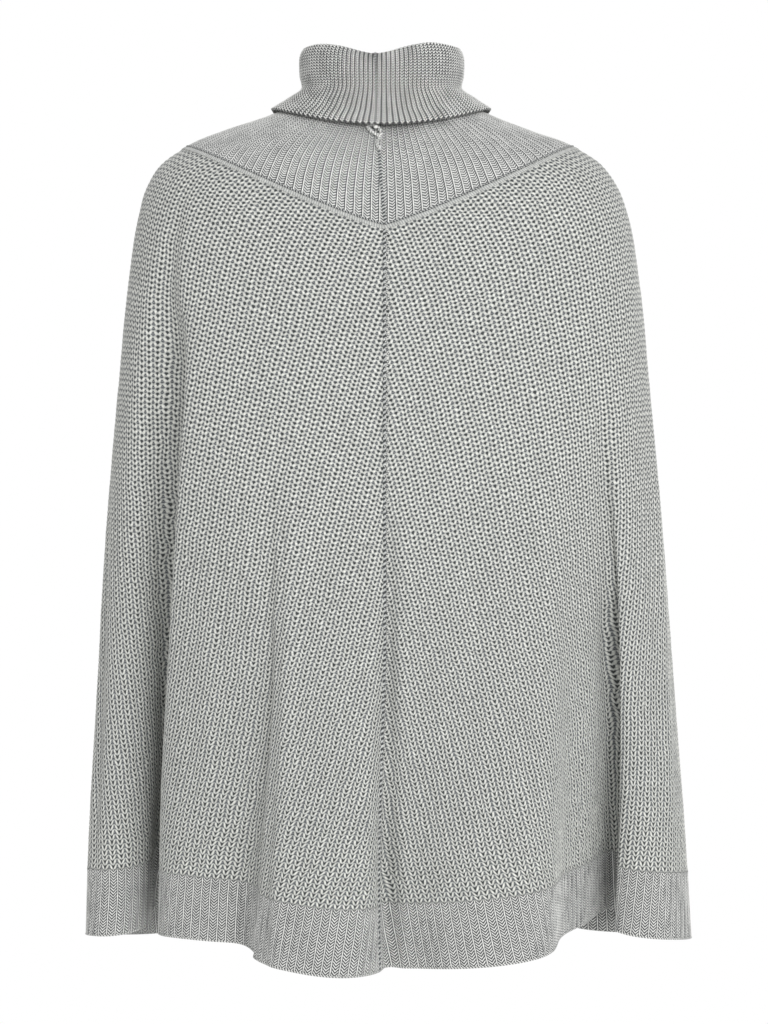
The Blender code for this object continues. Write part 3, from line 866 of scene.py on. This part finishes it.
def hemBand(side):
    # the body's wales go on as ribs, level at the top with the body's edge
    rowCount = 2 * hem["courses"] + 1
    course = np.linspace(0, hem["courses"], rowCount)[:, None]
    top, bottom = levels["hemTop"] + levels["seamGap"], levels["hem"]
    downs = np.linspace(top, bottom, rowCount)[:, None]
    half = ribCount(downs) / 2
    reach = math.ceil(half.max())
    places = np.linspace(-reach, reach, 2 * reach * hem["columnsPerRib"] + 1)
    ribs = np.clip(places, -half, half)
    outerMap = np.stack(np.broadcast_arrays(ribs, course), axis=-1)
    relief = hem["relief"] * (1.0 - ribHeight(outerMap, ribStitches["hem"])) * smoothStep(course, 0.0, 2.0)
    outerPoints = cloth(girthAt(girthTables[side], ribs / ribCount(downs) + 0.5, downs), downs, relief)
    shares, downs, innerPoints, innerIndex = innerHalf(side, hem, top, bottom)
    course = (downs - top) / (bottom - top) * hem["courses"]
    innerMap = np.stack([(shares - 0.5) * ribCount(downs), course], axis=-1)
    outer, inner = (outerPoints, gatheredIndex(places, half), outerMap), (innerPoints, innerIndex, innerMap)
    return wallPiece(f"hem_{side}_band", outer, inner, ribKnits["hem"], turnedCells(places), joined=(0,))


hems = {side: hemBand(side) for side in ("right", "left")}
for side, piece in hems.items():
    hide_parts(f"hem_{side}")
print("hem bands ready")


def neckGrid(piece, columns, course):
    # girths round the neck, and the knit map, in which the first column comes again as the last
    girths = np.arange(columns + 1)[None, :] / columns
    return girths[:, :-1], np.stack(np.broadcast_arrays(girths * piece["ribs"], course), axis=-1)


def neckWall(name, outerPoints, outerMap, innerPoints, innerMap, material):
    # a wall that closes round the neck
    outer = (outerPoints, gridIndex(*outerPoints.shape[:2], closed=True), outerMap)
    inner = (innerPoints, gridIndex(*innerPoints.shape[:2], closed=True), innerMap)
    return wallPiece(name, outer, inner, material, turnedCells(outerMap[0, :, 0]))


yoke = dict(
    ribs=124,
    columnsPerRib=8,
    courses=47,
    innerColumns=124,
    innerRows=12,
    relief=0.6,  # mm
    neckRelief=1.3,
    crowded=(-105.0, -60.0),  # levels between which the crowded ribs of the neck turn into flatter ones
    fan=0.010,  # share of the girth by which ribs swing to the sides half way down
)


def yokeGirth(girths, downs):
    # ribs fan out under the collar and hang straighter above the seam
    share = (downs - levels["neck"]) / (levels["yoke"] - levels["neck"])
    return girths + yoke["fan"] * np.sin(4 * math.pi * girths) * np.sin(math.pi * share)


def makeYoke():
    # a ring of ribs that run from the neck, where they are crowded and plump, down to the V of the seam
    rowCount = 2 * yoke["courses"] + 1
    top, bottom = levels["neck"] + levels["seamGap"], levels["yoke"] - levels["seamGap"]
    downs = np.linspace(top, bottom, rowCount)[:, None]
    course = np.linspace(-yoke["courses"], 0, rowCount)[:, None]
    girths, outerMap = neckGrid(yoke, yoke["ribs"] * yoke["columnsPerRib"], course)
    crowded = 1.0 - smoothStep(downs, *yoke["crowded"])
    relief = yoke["relief"] + (yoke["neckRelief"] - yoke["relief"]) * crowded
    relief = relief * (1.0 - ribHeight(outerMap[:, :-1], ribStitches["yoke"]))
    outerPoints = cloth(yokeGirth(girths, downs), downs, relief * smoothStep(-course, 0.0, 2.0))
    innerDowns = np.linspace(top, bottom, yoke["innerRows"])[:, None]
    girths, innerMap = neckGrid(yoke, yoke["innerColumns"], innerDowns / -levels["neck"] * yoke["courses"])
    innerPoints = cloth(girths, innerDowns, levels["wall"])
    return neckWall("yoke_rib", outerPoints, outerMap, innerPoints, innerMap, ribKnits["yoke"])


yokePiece = makeYoke()
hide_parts("yoke")
print("yoke ready")


collar = dict(
    ribs=112,
    columnsPerRib=6,
    courses=47,
    innerColumns=112,
    innerRows=24,
    relief=0.9,  # mm
    foldBells=((-7.0, -0.02, 0.055), (2.5, 0.11, 0.05), (1.5, -0.15, 0.05)),  # height, girth and width
    foldPlace=(3.0, 1.3),  # the fold's row in the table of sections, and the bells' width in rows
    lipLift=4.5,  # mm by which the outer edge stands off the yoke at centre back
    lipGirth=0.13,  # share of the girth over which it does
    lipRows=(7.0, 8.0),  # rows of the table over which the lift grows
)


def bell(value, middle, width):
    # 1 at the middle and 1/e one width away from it: exp(-((value - middle)/width)^2)
    return np.exp(-(((value - middle) / width) ** 2))


def collarTop(girth, place):
    # the fold dips at centre back and stands up to either side: bells round the neck and along the cloth
    turn = girth - np.round(girth)
    shape = sum(height * bell(turn, middle, width) for height, middle, width in collar["foldBells"])
    return shape * bell(place, *collar["foldPlace"])


def lengthsAlong(points):
    # the way along a line of points from the first to each
    return np.append(0.0, np.cumsum(np.linalg.norm(np.diff(points, axis=0), axis=1)))


def collarCloth(girth, place, depth, step=0.05):
    # the curve through the collar's sections carried round the neck, depth in mm over the middle of its wall
    rows = np.arange(len(collarSections), dtype=float)
    columns = [column(collarSections, collarNames, name) for name in collarNames]

    def at(where):
        values = [throughPoints(where, rows, heights) for heights in columns]
        halfWidth, frontToBack, forward, sideways, zSide, zMiddle = values
        across, back, share = oval(girth, halfWidth, frontToBack, 0.0)
        z = zMiddle + (zSide - zMiddle) * share**2 + collarTop(girth, where)
        return np.stack([across + sideways * share**2, forward - back, z], axis=-1) * mm

    girth, place, depth = np.broadcast_arrays(girth, place, depth)
    along = at(np.minimum(place + step, rows[-1])) - at(np.maximum(place - step, 0.0))
    radial = at(place) * np.array([1.0, 1.0, 0.0])
    roundWay = np.stack([-radial[..., 1], radial[..., 0], 0.0 * radial[..., 0]], axis=-1)
    normal = np.cross(along, roundWay)
    normal /= np.linalg.norm(normal, axis=-1, keepdims=True)
    lip = bell(girth - np.round(girth), 0.0, collar["lipGirth"]) * smoothStep(place, *collar["lipRows"])
    return at(place) + (depth + collar["lipLift"] * lip)[..., None] * mm * normal


def makeCollar():
    # a ring of ribs with courses of one height, from the neck seam up, over the fold and down to the edge
    half, lastPlace = levels["wall"] / 2, len(collarSections) - 1
    start = levels["seamGap"] / (collarSections[1][4] - collarSections[0][4])
    rowCount = 2 * collar["courses"] + 1
    fine = np.linspace(start, lastPlace, 400)
    lengths = lengthsAlong(collarCloth(0.1, fine, 0.0))
    places = np.interp(np.linspace(0.0, lengths[-1], rowCount), lengths, fine)[:, None]
    course = np.linspace(0, collar["courses"], rowCount)[:, None]
    girths, outerMap = neckGrid(collar, collar["ribs"] * collar["columnsPerRib"], course)
    relief = collar["relief"] * (1.0 - ribHeight(outerMap[:, :-1], ribStitches["collar"]))
    outerPoints = collarCloth(girths, places, half - relief * smoothStep(course, 0.0, 4.0))
    places = np.linspace(start, lastPlace, collar["innerRows"])[:, None]
    course = np.interp(places, fine, lengths / lengths[-1] * collar["courses"])
    girths, innerMap = neckGrid(collar, collar["innerColumns"], course)
    innerPoints = collarCloth(girths, places, -half)
    return neckWall("collar_rib", outerPoints, outerMap, innerPoints, innerMap, ribKnits["collar"])


collarPiece = makeCollar()
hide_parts("collar")
print("collar ready")


tubeEnd = 0.02  # share of its size to which an open tube's end is drawn together


def tubePiece(name, line, tube, closed=False):
    # An oval section carried along a line, given as its centres and its directions across and out:
    # centre + across cos t halfWidth + out sin t halfHeight. An open tube is closed by a cap at either end.
    centres, across, out = line
    sides = tube["sides"]
    turns = np.arange(sides + 1) / sides
    angle = 2 * math.pi * turns
    size = np.ones(len(centres))
    if not closed:
        size[[0, -1]] = tubeEnd
    width, height = (np.broadcast_to(value, size.shape) * size * mm for value in tube["size"])
    ring = across[:, None] * (np.cos(angle) * width[:, None])[..., None]
    ring = ring + out[:, None] * (np.sin(angle) * height[:, None])[..., None]
    points = (centres[:, None] + ring)[:, :-1]
    index = gridIndex(len(centres), sides, closed=True)
    lengths = lengthsAlong(centres) / mm
    if closed:
        index = np.concatenate([index, index[:1]])
        lengths = np.append(lengths, lengths[-1] + np.linalg.norm(centres[0] - centres[-1]) / mm)
    knitMap = np.stack(np.broadcast_arrays(turns, lengths[:, None] / tube["turn"]), axis=-1).reshape(-1, 2)
    corners = gridCorners(index)
    triangles = index.ravel()[corners]
    if not closed:  # its caps are fans of triangles
        for row, turn in ((0, 1), (len(centres) - 1, -1)):
            fan = index[row, :-1]
            cap = np.stack([np.full(sides - 2, fan[0]), fan[1:-1], fan[2:]], axis=1)[:, ::turn]
            triangles = np.concatenate([triangles, cap])
            corners = np.concatenate([corners, row * (sides + 1) + cap - fan[0]])
    maps = dict(knit=knitMap[corners])
    piece = addPiece(name, points.reshape(-1, 3), triangles, maps, yarns[tube["yarn"]])
    return piece


def alongLine(centres, out):
    # a line with its directions across it and out of the cloth
    across = np.cross(np.gradient(centres, axis=0), out)
    return centres, across / np.linalg.norm(across, axis=-1, keepdims=True), out


def onCloth(girths, downs, lift=0.0):
    # a line over the cloth, lift in mm above its outer face
    return alongLine(cloth(girths, downs, -lift), clothNormal(girths, downs))


def onCollar(girths, places):
    # a line on the collar's outer face, its direction out taken from a line 1 mm below
    outer = levels["wall"] / 2
    out = collarCloth(girths, places, outer) - collarCloth(girths, places, outer - 1.0)
    return alongLine(collarCloth(girths, places, outer), out / np.linalg.norm(out, axis=-1, keepdims=True))


seams = dict(
    # For each seam: its yarn and the mm in which that turns once, points along it, half its width and
    # height in mm, and the sides of its section.
    yoke=dict(yarn="linked", turn=2.2, points=600, size=(2.0, 0.35), sides=8, down=2.0, lift=0.0),
    yokeStitches=dict(yarn="whippedPaintedShade", turn=2.6, points=1000, size=(0.8, 0.5), sides=6, down=-1.0, lift=0.1),
    hem=dict(yarn="plied", turn=2.6, points=1500, size=(0.8, 0.9), sides=6, down=669.8, lift=-0.7),
    body=dict(yarn="whippedPaintedShade", turn=4.4, points=260, size=(1.4, 0.5), sides=8, downs=(3, 669), girth=0.0004),
    bodyYarn=dict(yarn="plied", turn=1.8, points=1100, size=(0.55, 0.55), sides=6, downs=(6, 614)),
    yokeBack=dict(yarn="whippedPaintedShade", turn=3.4, points=200, size=(1.3, 0.6), sides=8),
    collarBack=dict(yarn="whippedPaintedShade", turn=2.6, points=120, size=(1.0, 0.4), sides=8, places=(3.1, 7.95)),
    # The body's yarn swings to both sides of a line beside the seam: mm off the seam, mm of its reach, mm
    # from swing to swing and mm above the cloth. A slant gives a seam's girths at some levels or places.
    swing=dict(aside=2.2, reach=1.6, period=8.8, lift=0.15),
    yokeSlant=((-112.0, -3.0), (-0.012, 0.001)),
    collarSlant=((3.1, 5.0, 8.0), (-0.018, -0.016, -0.012)),
)


def ringSeam(name, seam):
    # a seam that runs all round the cloth at one level
    girths = np.arange(seam["points"]) / seam["points"]
    line = onCloth(girths, np.full(seam["points"], seam["down"]), seam["lift"])
    return tubePiece(name, line, seam, closed=True)


def makeSeams():
    # Linked seams: a pale flat chain with dark stitches over it under the yoke, a flat chain with a
    # looped yarn beside it down the body's middles, whipped joins at the back of yoke and collar, and the
    # hem's cast-off edge. The dark stitches, the body's chains and the joins are the same wool, their dark
    # tone painted shade.
    onYoke = [ringSeam("yoke_seam", seams["yoke"]), ringSeam("yoke_seam_stitches", seams["yokeStitches"])]
    chain, yarn, swing, onBody = seams["body"], seams["bodyYarn"], seams["swing"], []
    for name, girth in (("back", 0.0), ("front", 0.5)):
        downs = np.linspace(*chain["downs"], chain["points"])
        line = onCloth(np.full(chain["points"], girth + chain["girth"]), downs)
        onBody.append(tubePiece(f"{name}_seam", line, chain))
        downs = np.linspace(*yarn["downs"], yarn["points"])
        aside = swing["aside"] + swing["reach"] * np.cos(2 * math.pi * downs / swing["period"])
        line = onCloth(girth + aside / roundWayAt(downs), downs, swing["lift"])
        onBody.append(tubePiece(f"{name}_seam_yarn", line, yarn))
    downs = np.linspace(*seams["yokeSlant"][0], seams["yokeBack"]["points"])
    line = onCloth(np.interp(downs, *seams["yokeSlant"]), downs)
    onYoke.append(tubePiece("yoke_back_seam", line, seams["yokeBack"]))
    places = np.linspace(*seams["collarBack"]["places"], seams["collarBack"]["points"])
    line = onCollar(np.interp(places, *seams["collarSlant"]), places)
    onFold = [tubePiece("collar_back_seam", line, seams["collarBack"])]
    onHem = [ringSeam("hem_edge", seams["hem"])]
    return dict(yoke=onYoke, body=onBody, collar=onFold, hem=onHem)


seamPieces = makeSeams()

loop = dict(
    # the loop's line from its knot round to it again, in mm across from centre back and down from the seam
    across=(-8.0, -12.2, -14.6, -13.4, -10.0, -6.2, -3.4, -3.2, -5.0),
    down=(-88.6, -88.6, -87.2, -84.2, -82.0, -80.4, -79.6, -83.0, -87.4),
    tailAcross=(-4.0, -4.6, -6.2, -5.4, -3.6),
    tailDown=(-80.0, -76.6, -73.4, -70.4, -67.6),
    level=-84.0,  # where the way round the yoke is measured
    points=160,
    ply=dict(yarn="twisted", size=(0.9, 0.9), turn=3.0, sides=8),
    plyOff=0.75,  # mm from the middle of the yarn to the middle of a ply
    twistPitch=6.0,  # mm in which the plies go once round each other
    lift=2.6,
    # its turn is far longer than the knot, so the knot keeps its yarn's top tone, near white, partly a
    # painted highlight
    knot=dict(yarn="knotted", turn=60.0, points=24, radius=1.8, sides=12, pole=0.02),
    knotAt=(-7.6, -86.6, 4.4),  # across, down and lift
)


def loopLine(across, downs, lift):
    # a line over the yoke, given in mm across from centre back and down from the seam
    aroundYoke = lengthsAlong(foldedCloth(np.linspace(0, 1, 400), loop["level"]))[-1] / mm
    return onCloth(across / aroundYoke, downs, lift)


def twistedYarn(name, across, downs, closed):
    # two plies wound round each other along a smooth line through the given places
    turn = len(across) if closed else len(across) - 1
    t = np.linspace(0.0, turn, loop["points"], endpoint=not closed)
    around = [np.tile(values, 3) if closed else np.array(values) for values in (across, downs)]
    places = np.arange(len(around[0]), dtype=float) - (turn if closed else 0)
    lineAcross, lineDown = (throughPoints(t, places, values) for values in around)
    centres, side, out = loopLine(lineAcross, lineDown, loop["lift"])
    twists = round(lengthsAlong(centres)[-1] / mm / loop["twistPitch"])
    plies = []
    for number in range(2):
        angle = math.pi * (2 * twists * t / turn + number)
        off = side * np.cos(angle)[:, None] + out * np.sin(angle)[:, None]
        line = (centres + loop["plyOff"] * mm * off, side, out)
        plies.append(tubePiece(f"{name}_ply_{number + 1}", line, loop["ply"], closed))
    return plies


def makeLoop():
    # the closed loop, its tail up under the collar, and the knot, a bead: a tube as wide as it is long
    pieces = twistedYarn("back_loop", loop["across"], loop["down"], True)
    pieces += twistedYarn("back_loop_tail", loop["tailAcross"], loop["tailDown"], False)
    knot, (across, down, lift) = loop["knot"], loop["knotAt"]
    angle = np.linspace(knot["pole"], math.pi - knot["pole"], knot["points"])
    swell, reach = knot["radius"] * np.sin(angle), knot["radius"] * np.cos(angle)
    line = loopLine(across + reach, np.full(knot["points"], down), lift)
    pieces.append(tubePiece("back_loop_knot", line, {**knot, "size": (swell, swell)}))
    return pieces


for piece in makeLoop():
    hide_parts("back_loop")
print("seams and loop ready")


studio = dict(
    floor=-1.45,
    floorRadius=2.2,
    floorCorners=96,
    fill=0.71,
    key=136.0,  # W
    keyPlace=(1.7, -5.0, 0.9),
    keyAim=(0.0, 0.0, -0.4),
    keySize=2.0,
)


def makeFloor():
    # a wide round disc below the hem
    count = studio["floorCorners"]
    angle = np.linspace(0.0, 2 * math.pi, count + 1)[:-1]
    points = np.stack([np.cos(angle), np.sin(angle), np.zeros(count)], axis=1) * studio["floorRadius"]
    points[:, 2] = studio["floor"]
    mesh = bpy.data.meshes.new("floor")
    mesh.from_pydata(points.tolist(), [], [list(range(count))])
    material, add = newMaterial("matt_white_floor_paint")
    shader = add("BsdfPrincipled", linear("#F7F7F6"))
    shader.inputs["Roughness"].default_value = 0.9
    add("OutputMaterial", shader)
    mesh.materials.append(material)
    floor = addObject("floor", mesh)


def makeLights():
    # a large soft key light from the upper right, and white light from all round
    world = bpy.data.worlds.new("studio")
    bpy.context.scene.world = world
    world.use_nodes = True
    world.node_tree.nodes.clear()
    add = functools.partial(addNode, world.node_tree)
    seen = add("LightPath").outputs["Is Camera Ray"]  # the backdrop is white, and lights less than it shows
    fill = add("Background", (1.0, 1.0, 1.0, 1.0), studio["fill"])
    white = add("Background", (1.0, 1.0, 1.0, 1.0), 1.0)
    add("OutputWorld", add("MixShader", seen, fill, white))
    key = addObject("key", bpy.data.lights.new("key", "AREA"))
    key.data.energy = studio["key"]
    key.data.size = studio["keySize"]
    key.location = studio["keyPlace"]
    aim = np.array(studio["keyAim"]) - np.array(studio["keyPlace"])
    key.rotation_euler = mathutils.Vector(aim).to_track_quat("-Z", "Y").to_euler()


makeFloor()
makeLights()
print("studio ready")
